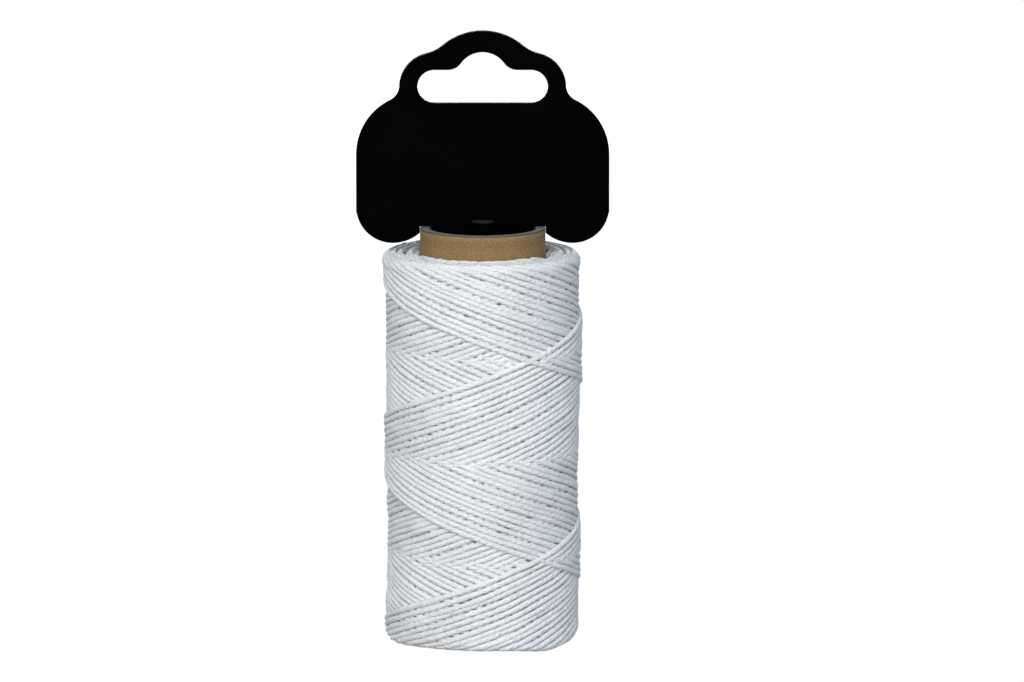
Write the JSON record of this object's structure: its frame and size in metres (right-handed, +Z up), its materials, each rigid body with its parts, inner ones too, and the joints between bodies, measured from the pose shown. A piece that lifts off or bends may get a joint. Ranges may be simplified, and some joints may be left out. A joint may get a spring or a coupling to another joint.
{
  "type": "thread spool",
  "caption": "Cardboard tube cross-wound with white waxed thread, with a black swivelling hang tag on a pull-out plug.",
  "frame": {"origin": "centre of the cardboard tube's lower rim, on the surface it stands on", "axes": "+Z up along the tube towards the hang tag, +X across the tag's width, +Y out of the tag's back"},
  "size_m": [0.0622, 0.0478, 0.1519],
  "materials": {
    "kraft_paper": "matt brown kraft paper",
    "grey_board": "matt grey recycled board, cut edge",
    "waxed_thread": "white twisted thread with a thin coat of wax",
    "black_plastic": "black moulded polypropylene, fine matt grain"
  },
  "bodies": {
    "spool": {"tube_lining": "kraft_paper", "board_ply_inner": "grey_board", "board_ply_middle": "grey_board", "board_ply_outer": "grey_board", "kraft_wrap": "kraft_paper", "thread_inner_layers": "waxed_thread", "thread_outer_layer": "waxed_thread"},
    "plug": {"plug": "black_plastic"},
    "tag": {"hang_tag": "black_plastic"}
  },
  "joints": [
    {"name": "plug_pull", "type": "slide", "parent": "spool", "child": "plug", "axis": [0, 0, 1], "range_m": [0, 0.025]},
    {"name": "tag_swivel", "type": "hinge", "parent": "plug", "child": "tag", "pos_m": [0, 0, 0.1], "axis": [0, 0, 1], "continuous": true}
  ]
}
